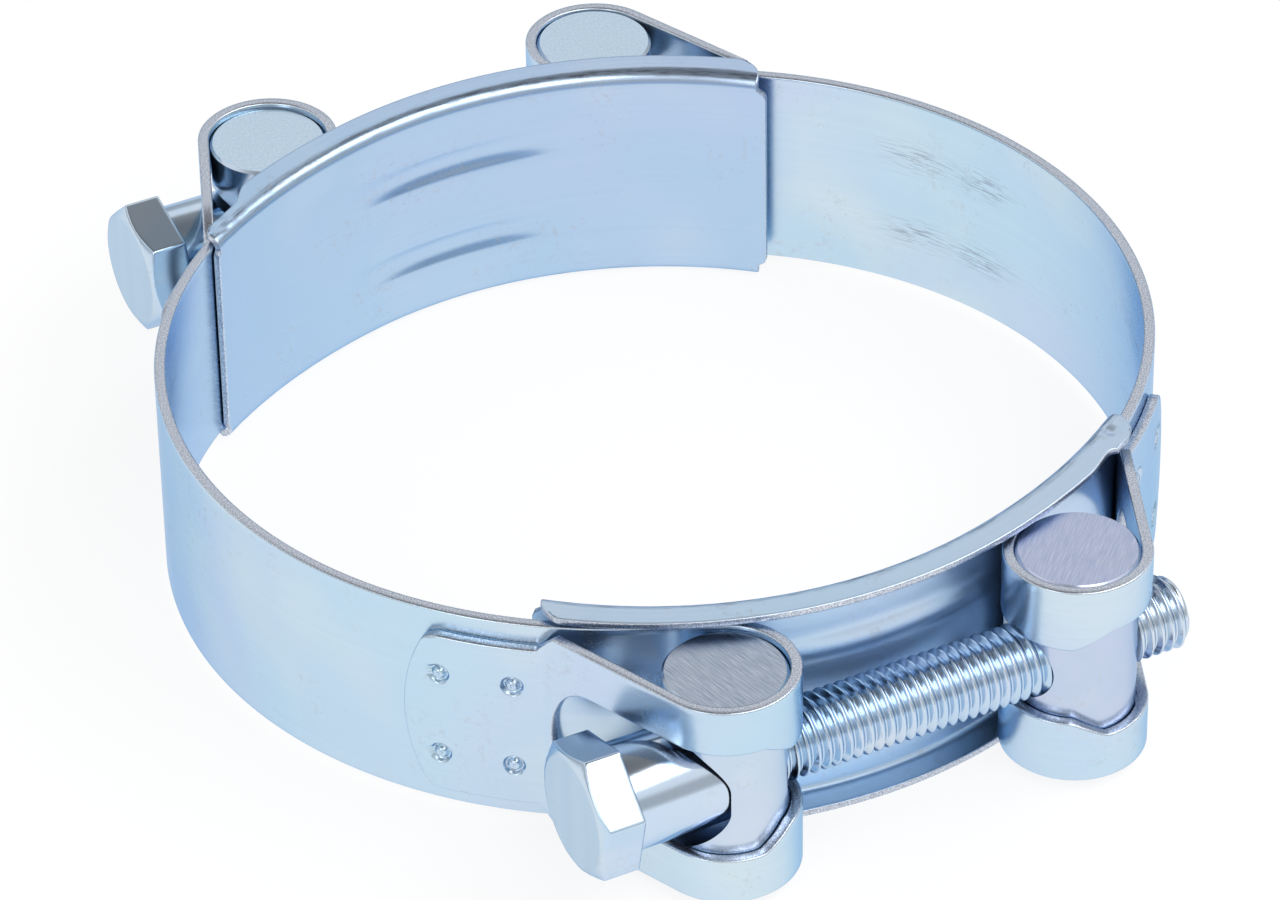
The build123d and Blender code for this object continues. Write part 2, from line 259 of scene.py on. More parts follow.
def padTip(z, padReach, padHalf):
    # The pad's outline at its tip, as a place along the pad: a shallow arc, then a small round corner
    bulge, corner = band["padTipBulge"], band["padCorner"]
    arc = (padHalf**2 + bulge**2) / (2 * bulge)
    cornerU = -padReach + arc - math.sqrt((arc - corner) ** 2 - (padHalf - corner) ** 2)
    return np.where(
        z < (padHalf - corner) * arc / (arc - corner),
        -padReach + arc - np.sqrt(arc**2 - z**2),
        cornerU - np.sqrt(np.clip(corner**2 - (z - padHalf + corner) ** 2, 0, None)),
    )


def jointLift(s, v, spots):
    # The pressed joints' outer face: a round groove, a dome less its pit, and a low rim
    groove, dome, pit, rim = (band[key] for key in ("groove", "dome", "pit", "rim"))
    lift = np.zeros(s.shape)
    for spotS, spotV in spots:
        r = np.hypot(s - spotS, v - spotV)
        lift -= groove["depth"] * hump(r, groove["radius"], groove["width"])
        lift += dome["rise"] * np.exp(-((r / dome["radius"]) ** 4)) - pit["depth"] * hump(r, 0, pit["radius"])
        lift += rim["rise"] * hump(r, rim["radius"], rim["width"])
    return lift


def makeBand(name, side):
    # Rows across the strip follow its middle line s from the front pad's tip to the side, and the back's
    # mirror them. side is 1 for the heads' half, at -X, and -1 for the other, its mirror image
    runs, centre, ringRadius, padRadius = frontRuns()
    loopCentre, loopRadius = loopPlace()
    bendStart, strapStart, loopStart, loopEnd, ringStart, end = np.cumsum([run["length"] for run in runs])
    halfWidth = band["width"] / 2
    padHalf = halfWidth - band["padInset"]
    middle = (band["padTipAngle"] + band["padEndAngle"]) / 2
    padReach = padRadius * math.sin(math.radians((band["padEndAngle"] - band["padTipAngle"]) / 2))
    outward = polar((0, 0), 1, 180 + middle)
    acrossPad = np.array([-outward[1], outward[0]])

    def pointAt(s):
        return alongRuns(runs, np.array([s]))[0][0]

    def padLength(u):
        # The length s at a place u in the tangent plane at the pad's middle
        return padRadius * (np.arcsin(u / padRadius) + math.radians(middle - band["padTipAngle"]))

    # Columns from mid width to the window's side, then to the strip's edge, dense over the pad's joints
    height, near, steps = band["jointHeight"], band["jointReach"], band["jointSteps"]
    wide, narrow = band["windowHalf"], band["neckHalf"]
    inside = spaced((0, height - near, 5), (height - near, height + near, steps),
                    (height + near, wide, 1)) / wide
    outside = np.linspace(0, 1, 8)[1:]

    def columns(inner, outer):
        return np.concatenate([inside * inner, inner + outside * (outer - inner)])

    # Rows over the pad, from the tip's outline to the bend
    first, second = (padRadius * math.sin(math.radians(angle - middle)) for angle in band["jointAngles"])
    padU = spaced((-padReach, first - near, 4), (first - near, first + near, steps),
                  (first + near, second - near, 7), (second - near, second + near, steps),
                  (second + near, padReach, 3))
    padZ = columns(wide, padHalf)
    tipU = padTip(padZ, padReach, padHalf)
    share = (padU[:, None] + padReach) / (2 * padReach)
    rowS = list(padLength(tipU + share * (padReach - tipU)))
    rowZ = [padZ] * len(padU)

    def addRow(outerS, inner, outer, innerS=None):
        # Beside the window a row lies straight across the strip, and in line with it may be bent
        innerS = outerS * np.ones(len(inside)) if innerS is None else innerS
        rowS.append(np.concatenate([innerS, outerS * np.ones(len(outside))]))
        rowZ.append(columns(inner, outer))

    # Rows round the bend and up the strap, where the strip widens at 45 degrees to its full width
    bendS = np.linspace(bendStart, strapStart, 9)[1:]
    bendU = (alongRuns(runs, bendS)[0] - centre) @ acrossPad
    for s, u in zip(bendS, bendU):
        addRow(s, wide, min(padHalf + u - padReach, halfWidth))
    strapSlope = (pointAt(strapStart + 1) - pointAt(strapStart)) @ acrossPad
    stepEnd = strapStart + (padReach + band["padInset"] - bendU[-1]) / strapSlope
    stepStart = strapStart + band["stepStart"]
    addRow(stepEnd, wide, halfWidth, stepStart + (stepEnd - stepStart) * inside**2)
    # The window's round end, its two sides, and its narrower far end on the loop
    opening = strapStart + band["windowStart"]
    roundness = 1 - np.sqrt(1 - inside**2)
    legStart = opening + band["windowRound"]
    addRow(legStart, wide, halfWidth, opening + band["windowRound"] * roundness)
    firstOpen = len(rowS) - 1
    loopFirst = bearing(loopCentre, pointAt(loopStart))
    closing = loopStart + loopRadius * math.radians((band["windowEndAngle"] - loopFirst) % 360)
    legs = spaced((legStart, loopStart, 8), (loopStart, closing - band["windowEndRound"], 48))
    neck = [(loopRadius + band["thickness"]) * math.sin(math.radians(band[key]))
            for key in ("neckStartAngle", "neckFullAngle")]
    legX = alongRuns(runs, legs)[0][:, 0] - loopCentre[0]
    for s, inner in zip(legs[1:-1], np.interp(legX, neck, [wide, narrow])[1:-1]):
        addRow(s, inner, halfWidth)
    endLine = closing - band["windowEndRound"] * roundness
    addRow(legs[-1], narrow, halfWidth, endLine)
    lastOpen = len(rowS) - 1
    clear = closing + band["windowClear"]
    for share in (1 / 3, 2 / 3, 1):
        addRow(legs[-1] + share * (clear - legs[-1]), narrow, halfWidth, endLine + share * (clear - endLine))
    rest = spaced((clear, loopEnd, 8), (loopEnd, ringStart, 3), (ringStart, end, 62))[1:]
    for s, inner in zip(rest, narrow + (wide - narrow) * smooth((rest - clear) / band["neckReturn"])):
        addRow(s, inner, halfWidth)
    # The back mirrors the front, and the lower half of the width the upper one
    total = 2 * end
    frontS, frontZ = np.array(rowS), np.array(rowZ)
    gridS = np.concatenate([frontS, total - frontS[-2::-1]])
    gridZ = np.concatenate([frontZ, frontZ[-2::-1]])
    upper = np.arange(gridS.size).reshape(gridS.shape)
    lower = upper + gridS.size
    lower[:, 0] = upper[:, 0]
    shown = np.full((gridS.shape[0] - 1, gridS.shape[1] - 1), True)
    windowColumns = len(inside) - 1
    shown[firstOpen:lastOpen, :windowColumns] = False
    shown[-lastOpen:-firstOpen, :windowColumns] = False
    quads = np.concatenate([gridQuads(upper)[shown.ravel()], gridQuads(lower)[shown.ravel()][:, ::-1]])
    used, corners = np.unique(quads, return_inverse=True)
    stripS = np.tile(gridS.ravel(), 2)[used]
    stripV = np.concatenate([gridZ.ravel(), -gridZ.ravel()])[used]
    spots = [(float(padLength(u)), sign * height) for u in (first, second) for sign in (-1, 1)]
    ringFirst = bearing(centre, pointAt(ringStart)) % 360

    def place(allS, allV, allN):
        # The middle line's point plus the offset along its left, less the joints on the outer face
        back = allS > end
        frontS = np.where(back, total - allS, allS)
        point, left = alongRuns(runs, frontS)
        outerFace = smooth(-allN / band["jointSkin"] - 1)
        offset = allN - jointLift(frontS, allV, spots) * outerFace
        plan = point + left * offset[:, None]
        return np.stack([side * plan[:, 0], np.where(back, -plan[:, 1], plan[:, 1]), allV], 1)

    def wear(allS, allV, allN):
        # Two rows of rub streaks on the ring's bore side, and painted shade in the pressed joints' grooves,
        # which lie on the same face of the strip
        rub, groove = band["rub"], band["groove"]
        frontS = np.where(allS > end, total - allS, allS)
        amount = np.zeros(frontS.shape)
        for angle in rub["angles"]:
            rubS = ringStart + ringRadius * math.radians(ringFirst - 180 - angle)
            acrossRub = hump(np.abs(allV), height, rub["width"])
            amount += rub["wear"] * hump(frontS, rubS, rub["length"]) * acrossRub
        for spotS, spotV in spots:
            r = np.hypot(frontS - spotS, allV - spotV)
            amount += groove["wear"] * hump(r, groove["radius"], groove["wearWidth"])
        return amount * (allN < 0)

    return bentSheet(name, stripS, stripV, corners.reshape(-1, 4), place, wear, band["thickness"],
                     band["edgeRadius"])


# The bridges: a sprung channel along two arcs, with two beads pressed in its web and one crimped end.
# Lengths and tapers at that end are measured from its tip.
bridge = {
    "boreRadius": 59.0, "thickness": 1.0, "edgeRadius": 0.22, "freeAngle": 47.5, "roundAngle": 103.5,
    "flatAngle": 22.0, "crimpGap": 0.15, "flangeTop": 16.6, "flangeReach": 4.8, "bendRadius": 1.4,
    "cornerRadius": 4.6, "tongue": 1.2, "crimpTongue": 0.48, "notch": 0.9, "tipLength": 8.0,
    "denseLength": 14.0, "crimp": {"length": 13.0, "taper": 5.0}, "hook": {"length": 8.0, "taper": 2.5},
    "bead": {"height": 6.8, "halfWidth": 2.5, "denseHalf": 2.2, "angle": 91.0, "halfLength": 17.0,
             "rise": 0.7},
    "press": {"length": 9.5, "taper": 4.0, "depth": 0.12, "start": 0.6, "fade": 1.6},
    "relief": {"length": 9.0, "taper": 2.0},
    "folds": {"length": 8.0, "taper": 3.0, "depth": 0.035, "along": 2.1, "across": 1.4},
    "crater": {"place": 4.2, "height": 0.4, "radius": 0.75, "rim": 0.35, "rimRadius": 1.3, "rimWidth": 0.35},
    "rough": {"height": 1.5, "width": 0.55, "wear": 0.9},
    "tips": {"back": {"reach": 3.0, "ear": 0.0, "crater": 0.0},
             "front": {"reach": 4.2, "ear": 0.7, "crater": 0.34}},
}


def nearTip(beyond, end):
    # 1 at the crimped tip, falling to 0 over the taper that ends at the length
    return smooth((end["length"] - beyond) / end["taper"])


def makeBridge(name, turned, tip):
    # turned is 1 for the back one and -1 for the front one, which is the same turned half round
    thickness, bead, press, crater = (bridge[key] for key in ("thickness", "bead", "press", "crater"))
    bore, roundAngle = bridge["boreRadius"], bridge["roundAngle"]
    # The second arc is tangent to the first and ends just inside the band
    start = polar((0, 0), 1, roundAngle)
    finish = polar((0, 0), 1, roundAngle + bridge["flatAngle"])
    fixed = start * bore + finish * thickness + np.array([band["centreOffset"], 0])
    growth = finish - start
    reach = band["innerRadius"] - bridge["crimpGap"]
    square, slope = growth @ growth, fixed @ growth
    flatRadius = (math.sqrt(slope**2 - square * (fixed @ fixed - reach**2)) - slope) / square
    flatCentre = polar((0, 0), bore - flatRadius, roundAngle)
    roundSweep = roundAngle - bridge["freeAngle"]
    roundLength = bore * math.radians(roundSweep)
    total = roundLength + flatRadius * math.radians(bridge["flatAngle"])
    beadMiddle = roundLength * (bead["angle"] - bridge["freeAngle"]) / roundSweep
    bend = bridge["bendRadius"]
    bendZ = bridge["flangeTop"] - thickness / 2 - bend
    bendEnd = bendZ + bend * math.pi / 2

    def section(v):
        # Reach and height of the channel's middle line, and its normal, at developed width v
        w = np.abs(v)
        turn = np.clip((w - bendZ) / bend, 0, math.pi / 2)
        rho = thickness / 2 + bend * (1 - np.cos(turn)) + np.clip(w - bendEnd, 0, None)
        z = np.minimum(w, bendZ) + bend * np.sin(turn)
        return rho, z, np.cos(turn), -np.sin(turn)

    def place(allS, allV, allN):
        # The section turned about its arc's centre, with its beads raised and its crimped end pressed in
        rho, z, normalRho, normalZ = section(allV)
        w = np.abs(allV)
        beyond = total - allS
        along = np.abs(allS - beadMiddle) / bead["halfLength"]
        across = (w - bead["height"]) / bead["halfWidth"]
        lift = bead["rise"] * np.clip(1 - across**2, 0, 1) ** 1.5 * np.clip(1 - along**3, 0, 1)
        flange = smooth((w - bendEnd + press["start"]) / press["fade"])
        pressed = press["depth"] * nearTip(beyond, press) * flange
        folds = bridge["folds"]
        wave = folds["depth"] * np.sin(folds["along"] * beyond + folds["across"] * w) * nearTip(beyond, folds)
        r = np.hypot(beyond - crater["place"], w - bendEnd - crater["height"])
        dimple = hump(r, 0, crater["radius"])
        dimple -= crater["rim"] * hump(r, crater["rimRadius"], crater["rimWidth"])
        relief = (wave - tip["crater"] * dimple) * nearTip(beyond, bridge["relief"])
        z = np.minimum(z + normalZ * allN - pressed + relief, bridge["flangeTop"])
        onRound = allS < roundLength
        angle = np.where(
            onRound,
            math.radians(bridge["freeAngle"]) + allS / bore,
            math.radians(roundAngle) + (allS - roundLength) / flatRadius,
        )
        radius = np.where(onRound, bore, flatRadius) + rho + normalRho * allN + lift
        x = np.where(onRound, 0, flatCentre[0]) + radius * np.cos(angle)
        y = np.where(onRound, 0, flatCentre[1]) + radius * np.sin(angle)
        return np.stack([turned * x, turned * y, np.where(allV < 0, -z, z)], 1)

    def wear(allS, allV, allN):
        # The bore side of the bend is drawn rough by the forming
        rough = bridge["rough"]
        return rough["wear"] * hump(np.abs(allV), bendZ + rough["height"], rough["width"]) * (allN < 0)

    # Columns over the developed width, dense over the beads, and rows along it, dense at both ends
    widest = bendEnd + bridge["flangeReach"] - thickness / 2 - bend
    low, high = bead["height"] - bead["denseHalf"], bead["height"] + bead["denseHalf"]
    share = spaced((0, low, 6), (low, high, 14), (high, bendZ, 9), (bendZ, bendEnd, 6),
                   (bendEnd, widest, 6)) / widest
    share = np.concatenate([-share[:0:-1], share])
    tipLength, dense = bridge["tipLength"], total - bridge["denseLength"]
    nominal = spaced((0, tipLength, 16), (tipLength, dense, 64), (dense, total, 26))
    beyond = total - nominal
    limit = widest - nearTip(beyond, bridge["crimp"]) * (bridge["flangeReach"] - tip["reach"])
    limit += nearTip(beyond, bridge["hook"]) * tip["ear"]
    v = share[None, :] * limit[:, None]
    # The flange's ends stand back from the web's tongue, with a large round corner
    rho = section(v)[0]
    shoulder = smooth((np.abs(v) - bendZ + bridge["notch"]) / bridge["notch"])
    small = tip["reach"] + tip["ear"] - thickness
    freeTip = bridge["tongue"] * shoulder + cornerDrop(rho - thickness / 2, bridge["cornerRadius"])
    crimpTip = bridge["crimpTongue"] * shoulder + cornerDrop(rho - thickness, small)
    s = nominal[:, None] + freeTip * np.clip(1 - nominal / tipLength, 0, 1)[:, None]
    s = s - crimpTip * np.clip(1 - beyond / tipLength, 0, 1)[:, None]
    quads = gridQuads(np.arange(s.size).reshape(s.shape))
    return bentSheet(name, s.ravel(), v.ravel(), quads, place, wear, thickness, bridge["edgeRadius"])


# The bolts: a chamfered hexagon head and a true helical thread. Columns are degrees round one side of
# the hexagon. Face rows are (height, reach past the face's radius), side rows (height and reach past the
# chamfer's foot), and the thread's section (share of a pitch, reach past the crest or the root).
bolt = {
    "radius": 5.0, "length": 80.0, "pitch": 1.5, "threadDepth": 0.78, "endChamfer": 1.0, "capRadius": 2.5,
    "acrossFlats": 16.0, "headHeight": 5.8, "faceRadius": 7.6, "chamferAngle": 30.0, "cornerCut": 0.07,
    "edgeRadius": 0.25, "edgeEase": 0.3, "edgeStep": 0.3, "coneFull": 0.5,
    "columns": (0, 0.9, 2.4, 8, 19, 30, 41, 52, 57.6, 59.1),
    "faceRows": ((0, -4.6), (0, -0.45), (0, -0.2), (0.03, -0.02)),
    "sideRows": ((0.02, -0.05), (0.16, 0), (0.4, 0)),
    "crest": ((0, -0.12), (0.06, -0.02), (0.13, 0), (0.2, -0.02), (0.26, -0.12)),
    "root": ((0.52, 0.08), (0.58, 0), (0.68, 0), (0.74, 0.08)),
    "spareTurns": 3, "headTurns": {"front": 43.0, "back": 15.0},
}


def aroundBolt(x, r, angle, side):
    # Points at lengths x along a bolt from its head's seat and r from its axis
    return np.stack([seatX + x, side * trunnionY + r * np.cos(angle), r * np.sin(angle)], -1).reshape(-1, 3)


def makeBolt(name, side, turn):
    # Rows of points round the bolt's axis: first the head's, whose reach is the smaller of the hexagon's
    # and the chamfer's cone, then the thread's, which rise by one pitch for each turn
    across, height, length = bolt["acrossFlats"] / 2, bolt["headHeight"], bolt["length"]
    degrees = (np.arange(6)[:, None] * 60 + np.array(bolt["columns"])).ravel()
    angle = np.radians(degrees + turn)
    corner = across / math.cos(math.radians(30)) - bolt["cornerCut"]
    hexagon = np.minimum(across / np.cos(np.radians(degrees % 60 - 30)), corner)
    chamfer = math.radians(bolt["chamferAngle"])
    meet = (hexagon - bolt["faceRadius"]) * math.tan(chamfer)
    step = bolt["edgeStep"]
    cone = step * np.minimum(1, meet / bolt["coneFull"])
    edge = bolt["edgeRadius"]
    ease = bolt["edgeEase"] * edge
    rows = [(x, bolt["faceRadius"] + r) for x, r in bolt["faceRows"]]
    rows.append((meet - cone * math.sin(chamfer), hexagon - cone * math.cos(chamfer)))
    rows += [(meet + x, hexagon + r) for x, r in bolt["sideRows"]]
    rows += [(height - edge - step, hexagon), (height - edge, hexagon), (height - ease, hexagon - ease),
             (height, hexagon - edge), (height, hexagon - edge - step)]
    level = np.ones(len(angle))
    headX = np.array([x * level for x, r in rows]) - height
    headR = np.array([r * level for x, r in rows])
    pitch, radius, root = bolt["pitch"], bolt["radius"], bolt["radius"] - bolt["threadDepth"]
    section = [(share, radius + r) for share, r in bolt["crest"]]
    section += [(share, root + r) for share, r in bolt["root"]]
    section = np.array(section)
    turns = int(length / pitch) + bolt["spareTurns"]
    x = ((np.arange(turns)[:, None] + section[:, 0]) * pitch).ravel() - pitch
    r = np.tile(section[:, 1], turns)
    helixX = np.clip(x[:, None] + pitch * degrees / 360, 0, length)
    helixR = np.minimum(r[:, None], radius - bolt["endChamfer"] + length - helixX)
    helixR = np.where(helixX <= 0, root, helixR)
    gridX = np.concatenate([headX, helixX, [level * length]])
    gridR = np.concatenate([headR, helixR, [level * bolt["capRadius"]]])
    # Round the thread, the last column meets the first one a whole turn further on
    index = np.arange(gridX.size).reshape(gridX.shape)
    lastRow = len(index) - 2
    ahead = np.minimum(np.arange(len(rows), lastRow + 1) + len(section), lastRow)
    meeting = index[:, 0].copy()
    meeting[len(rows):-1] = index[ahead, 0]
    closed = np.concatenate([index, meeting[:, None]], 1)
    faces = gridQuads(closed).tolist() + [index[0].tolist(), index[-1][::-1].tolist()]
    obj = makeMesh(name, aroundBolt(gridX, gridR, angle, side), faces)
    mergeDoubles(obj.data)
    return obj


# The sleeves: spacer tubes between the heads and the plain trunnions
sleeve = {"radius": 7.0, "wall": 1.75, "length": 14.2, "edgeRadius": 0.35, "columns": 96, "edgePoints": 5}


def makeSleeve(name, side):
    # A tube: a rounded rectangle of the wall's section, turned about the bolt's axis
    edge, length = sleeve["edgeRadius"], sleeve["length"]
    outer, inner = sleeve["radius"] - edge, sleeve["radius"] - sleeve["wall"] + edge
    quarter = np.linspace(0, math.pi / 2, sleeve["edgePoints"])
    corners = ((length - edge, outer), (edge, outer), (edge, inner), (length - edge, inner))
    outline = []
    for number, (x, r) in enumerate(corners):
        a = quarter + number * math.pi / 2
        outline.append(np.stack([x + edge * np.cos(a), r + edge * np.sin(a)], 1))
    outline = np.concatenate(outline)
    angle = np.linspace(0, 2 * math.pi, sleeve["columns"], endpoint=False)
    x = np.repeat(outline[:, :1], sleeve["columns"], 1)
    index = np.arange(x.size).reshape(x.shape)
    index = np.concatenate([index, index[:1]])
    index = np.concatenate([index, index[:, :1]], 1)
    return makeMesh(name, aroundBolt(x, outline[:, 1:], angle, side), gridQuads(index).tolist())


# The trunnions: round pins, carried over from the solids and shaded round
trunnion = {"radius": 7.9, "spacing": 50.0, "clearance": 0.12, "seatDepth": 1.4, "sharpAngle": 20.0,
            "sideGap": 0.02}


def roundSides(mesh, centre):
    # On faces whose corners all lie on the pin's round side, the normals point straight out from its axis
    owner = np.zeros(len(mesh.loops), np.int32)
    mesh.loops.foreach_get("vertex_index", owner)
    points = np.zeros(len(mesh.vertices) * 3)
    mesh.vertices.foreach_get("co", points)
    ray = points.reshape(-1, 3)[owner] / mm - np.array([*centre, 0])
    ray[:, 2] = 0
    reach = np.hypot(ray[:, 0], ray[:, 1])
    first = np.zeros(len(mesh.polygons), np.int32)
    mesh.polygons.foreach_get("loop_start", first)
    onSide = np.abs(reach - trunnion["radius"]) < trunnion["sideGap"]
    whole = np.repeat(np.logical_and.reduceat(onSide, first), np.diff(np.append(first, len(owner))))
    normals = np.zeros(len(owner) * 3)
    mesh.corner_normals.foreach_get("vector", normals)
    normals = np.where(whole[:, None], ray / reach[:, None], normals.reshape(-1, 3))
    mesh.normals_split_custom_set(normals.tolist())


def makeTrunnion(name, node, centre):
    # A merged copy of a solid's own mesh, without its stored normals, shaded smooth with crisp corners
    mesh = nodes[node].data.copy()
    mesh.name = name
    stored = mesh.attributes.get("custom_normal")
    if stored:
        mesh.attributes.remove(stored)
    mergeDoubles(mesh)
    mesh.shade_smooth()
    mesh.set_sharp_from_angle(angle=math.radians(trunnion["sharpAngle"]))
    roundSides(mesh, centre)
    return addObject(name, mesh)


trunnionY = -loopPlace()[0][1]
seatX = -trunnion["spacing"] / 2 - trunnion["seatDepth"] - sleeve["length"]
pieces = {"left_band": makeBand("left_half_band", 1), "right_band": makeBand("right_half_band", -1)}
print("half bands made", {k: len(o.data.polygons) for k, o in pieces.items()})
pieces["back_bridge"] = makeBridge("back_channel_bridge", 1, bridge["tips"]["back"])
pieces["front_bridge"] = makeBridge("front_channel_bridge", -1, bridge["tips"]["front"])
print("bridges made")
for side, end in ((-1, "front"), (1, "back")):
    pieces[end + "_sleeve"] = makeSleeve(end + "_spacer_sleeve", side)
    pieces[end + "_bolt"] = makeBolt(end + "_hexagon_bolt", side, bolt["headTurns"][end])
    for kind, along in (("plain", -1), ("threaded", 1)):
        node = end + "_" + kind + "_trunnion"
        centre = (along * trunnion["spacing"] / 2, side * trunnionY)
        pieces[node] = makeTrunnion(end + "_" + kind + "_pin", node, centre)
print("bolts, sleeves and trunnions made", len(pieces["front_bolt"].data.polygons))


def addNode(tree, kind, settings=None, **inputs):
    # A value that is a socket is linked, and any other is set. Input names have their blanks left out,
    # and a name such as _2 is an input's number.
    node = tree.nodes.new(kind)
    for key, value in (settings or {}).items():
        setattr(node, key, value)
    sockets = {}
    for socket in node.inputs:
        label = socket.name.replace(" ", "")
        if label not in sockets or (socket.enabled and not sockets[label].enabled):
            sockets[label] = socket
    for key, value in inputs.items():
        socket = node.inputs[int(key[1:])] if key[0] == "_" else sockets[key]
        if isinstance(value, bpy.types.NodeSocket):
            tree.links.new(value, socket)
        else:
            socket.default_value = value
    return node


def combine(tree, operation, *values):
    # A Math node's result, where each value is a socket or a number
    numbered = {"_" + str(number): value for number, value in enumerate(values)}
    return addNode(tree, "ShaderNodeMath", {"operation": operation}, **numbered).outputs[0]


def mixColour(tree, amount, a, b):
    return addNode(tree, "ShaderNodeMix", {"data_type": "RGBA"}, _0=amount, _6=a, _7=b).outputs[2]


def mixValue(tree, amount, a, b):
    return addNode(tree, "ShaderNodeMix", {"data_type": "FLOAT"}, _0=amount, _2=a, _3=b).outputs[0]


def ranged(tree, value, fromMin, fromMax, toMin=0.0, toMax=1.0):
    return addNode(tree, "ShaderNodeMapRange", None, Value=value, FromMin=fromMin, FromMax=fromMax,
                   ToMin=toMin, ToMax=toMax).outputs[0]


def noise(tree, vector, scale, detail, roughness=0.5, distortion=0.0):
    return addNode(tree, "ShaderNodeTexNoise", None, Vector=vector, Scale=scale, Detail=detail,
                   Roughness=roughness, Distortion=distortion).outputs[0]


def startGroup(name, output, outputKind, **kinds):
    # A shader node group with one named output, a vector, and further inputs given as name=kind
    group = bpy.data.node_groups.new(name, "ShaderNodeTree")
    inputs = {"Vector": "Vector", **kinds}
    for label, kind in inputs.items():
        group.interface.new_socket(name=label, in_out="INPUT", socket_type="NodeSocket" + kind)
    group.interface.new_socket(name=output, in_out="OUTPUT", socket_type="NodeSocket" + outputKind)
    sources = list(group.nodes.new("NodeGroupInput").outputs)[:len(inputs)]
    return group, group.nodes.new("NodeGroupOutput").inputs[0], sources


def bloomGroup():
    # Passivated zinc: the colour drifts slowly between three tints
    group, result, (vector, scale, cool, lilac, warm) = startGroup(
        "zincBloom", "Color", "Color", Scale="Float", Cool="Color", Lilac="Color", Warm="Color")
    slow = noise(group, vector, scale, detail=3.0, roughness=0.55, distortion=0.6)
    quick = noise(group, vector, combine(group, "MULTIPLY", scale, 2.3), detail=2.0, distortion=0.2)
    tint = mixColour(group, ranged(group, slow, 0.4, 0.62), cool, lilac)
    group.links.new(mixColour(group, ranged(group, quick, 0.5, 0.75), tint, warm), result)
    return group


def linesGroup():
    # Rolled strip: fine lines along the strip, broken up over its length
    group, result, (vector, across, along) = startGroup(
        "rollLines", "Mask", "Float", Across="Float", Along="Float")
    scale = addNode(group, "ShaderNodeCombineXYZ", None, X=along, Y=across, Z=1.0)
    stretched = addNode(group, "ShaderNodeVectorMath", {"operation": "MULTIPLY"}, _0=vector,
                        _1=scale.outputs[0]).outputs[0]
    lines = noise(group, stretched, 1.0, detail=3.0, roughness=0.6)
    group.links.new(ranged(group, lines, 0.3, 0.7), result)
    return group


def scuffsGroup():
    # Handling: scattered small scuffs and nicks, in patches
    group, result, (vector, scale, amount) = startGroup(
        "scuffs", "Mask", "Float", Scale="Float", Amount="Float")
    patch = ranged(group, noise(group, vector, 110.0, detail=2.0), 0.5, 0.68)
    nick = ranged(group, noise(group, vector, scale, detail=4.0, roughness=0.7, distortion=0.3), 0.54, 0.66)
    both = combine(group, "MULTIPLY", patch, nick)
    group.links.new(combine(group, "MULTIPLY", both, amount), result)
    return group


def grainGroup():
    # Plate grain: the fine relief of zinc on steel, as a height
    group, result, (vector, scale, coarseScale) = startGroup(
        "plateGrain", "Height", "Float", Scale="Float", Coarse="Float")
    fine = noise(group, vector, scale, detail=2.0, roughness=0.6)
    coarse = noise(group, vector, coarseScale, detail=2.0)
    group.links.new(combine(group, "MULTIPLY_ADD", coarse, 0.7, fine), result)
    return group


groups = {"bloom": bloomGroup(), "lines": linesGroup(), "scuffs": scuffsGroup(), "grain": grainGroup()}


def useGroup(tree, group, **inputs):
    return addNode(tree, "ShaderNodeGroup", {"node_tree": groups[group]}, **inputs).outputs[0]


def startMaterial(name, look):
    # Metal all over, with its own tint at glancing angles
    material = bpy.data.materials.new(name)
    material.use_nodes = True
    shader = material.node_tree.nodes["Principled BSDF"]
    shader.inputs["Metallic"].default_value = 1.0
    shader.inputs["Specular Tint"].default_value = look["glancing"]
    return material, material.node_tree, shader


def zincOver(tree, place, look):
    # What every finish shares: its drifting colour, its scuffs and its grain
    colour = useGroup(tree, "bloom", Vector=place, Scale=look["driftScale"], Cool=look["cool"],
                      Lilac=look["lilac"], Warm=look["warm"])
    scuffs = useGroup(tree, "scuffs", Vector=place, Scale=look["scuffScale"], Amount=look["scuffAmount"])
    grain = useGroup(tree, "grain", Vector=place, Scale=look["grainScale"], Coarse=look["coarseScale"])
    return colour, scuffs, grain


def finishMaterial(tree, shader, colour, rough, height, strength):
    tree.links.new(colour, shader.inputs["Base Color"])
    tree.links.new(rough, shader.inputs["Roughness"])
    bump = addNode(tree, "ShaderNodeBump", None, Strength=strength, Distance=bumpDistance, Height=height)
    tree.links.new(bump.outputs[0], shader.inputs["Normal"])


